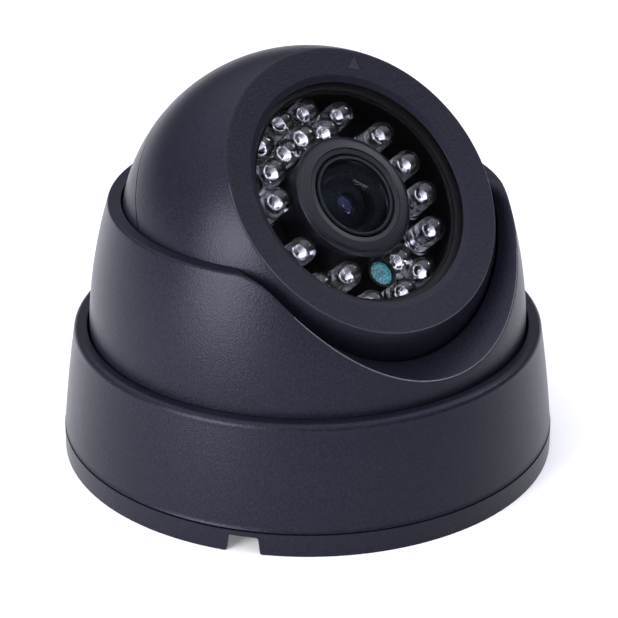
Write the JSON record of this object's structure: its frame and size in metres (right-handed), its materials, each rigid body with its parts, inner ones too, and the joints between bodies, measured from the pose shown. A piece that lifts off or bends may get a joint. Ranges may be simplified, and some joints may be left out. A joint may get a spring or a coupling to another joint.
{
  "type": "dome cctv camera",
  "caption": "Eyeball dome security camera: twist-on ceiling base, panning collar with a front scoop, gimballed ball with an infrared lamp ring and lens.",
  "frame": {"origin": "centre of the base plate's mounting face", "axes": "+Z out of the ceiling along the pan axis, -Y the camera's front, X the tilt axis"},
  "size_m": [0.0932, 0.0932, 0.0768],
  "materials": {
    "shell_plastic": "fine spark-eroded texture, satin",
    "black_plastic": "satin",
    "black_rubber": "matte",
    "steel": "zinc plated",
    "lamp_epoxy": "clear",
    "window_glass": "polished",
    "circuit_board": "black solder mask",
    "photocell_face": "speckled teal",
    "filter_glass": "polished",
    "chip": "moulded",
    "standoff_brass": "turned",
    "connector_plastic": "moulded",
    "lens_glass": "coated"
  },
  "bodies": {
    "base": {"base_plate": "shell_plastic", "pan_friction_ring": "black_rubber"},
    "cover": {"base_cover": "shell_plastic"},
    "turret": {"turret_collar": "shell_plastic"},
    "tilt_yoke": {"tilt_bracket": "steel", "pivot_pins": "steel", "friction_washers": "steel"},
    "eyeball": {"ball_front_shell": "shell_plastic", "ball_rear_shell": "shell_plastic", "ball_screws": "steel", "hub_clip": "steel", "cable_grommet": "black_rubber", "front_window": "window_glass", "window_seal": "black_rubber", "window_retainer": "black_plastic", "led_board": "circuit_board", "photocell": "photocell_face", "photocell_sleeve": "black_plastic", "lens_shroud": "black_rubber", "lens_holder": "black_plastic", "holder_screws": "steel", "ir_cut_filter": "filter_glass", "image_sensor": "chip", "sensor_board": "circuit_board", "board_standoffs": "standoff_brass", "board_screws": "steel", "pin_header": "black_plastic", "power_connector": "connector_plastic", "processor_chip": "chip", "ir_led_01": "lamp_epoxy", "ir_led_02": "lamp_epoxy", "ir_led_03": "lamp_epoxy", "ir_led_04": "lamp_epoxy", "ir_led_05": "lamp_epoxy", "ir_led_06": "lamp_epoxy", "ir_led_07": "lamp_epoxy", "ir_led_08": "lamp_epoxy", "ir_led_09": "lamp_epoxy", "ir_led_10": "lamp_epoxy", "ir_led_11": "lamp_epoxy", "ir_led_12": "lamp_epoxy", "ir_led_13": "lamp_epoxy", "ir_led_14": "lamp_epoxy", "ir_led_15": "lamp_epoxy", "ir_led_16": "lamp_epoxy", "ir_led_17": "lamp_epoxy", "ir_led_18": "lamp_epoxy", "ir_led_19": "lamp_epoxy", "ir_led_20": "lamp_epoxy", "ir_led_21": "lamp_epoxy"},
    "lens": {"lens_barrel": "black_plastic", "front_lens": "lens_glass", "rear_lens": "lens_glass", "lens_ring": "black_plastic"}
  },
  "joints": [
    {"name": "cover_twist", "type": "hinge", "parent": "base", "child": "cover", "pos_m": [0, 0, 0.0149], "axis": [0, 0, 1], "range_deg": [0, 25]},
    {"name": "turret_pan", "type": "hinge", "parent": "base", "child": "turret", "pos_m": [0, 0, 0.0165], "axis": [0, 0, 1], "range_deg": [-175, 175]},
    {"name": "eyeball_tilt", "type": "hinge", "parent": "turret", "child": "tilt_yoke", "pos_m": [0, 0, 0.0419], "axis": [-1, 0, 0], "range_deg": [-22.3, 47.7]},
    {"name": "eyeball_roll", "type": "hinge", "parent": "tilt_yoke", "child": "eyeball", "pos_m": [0, 0, 0.0419], "axis": [0, -0.7396, 0.673], "range_deg": [-170, 170]},
    {"name": "lens_focus", "type": "hinge", "parent": "eyeball", "child": "lens", "pos_m": [0, 0, 0.0419], "axis": [0, -0.7396, 0.673], "range_deg": [-90, 90]}
  ]
}
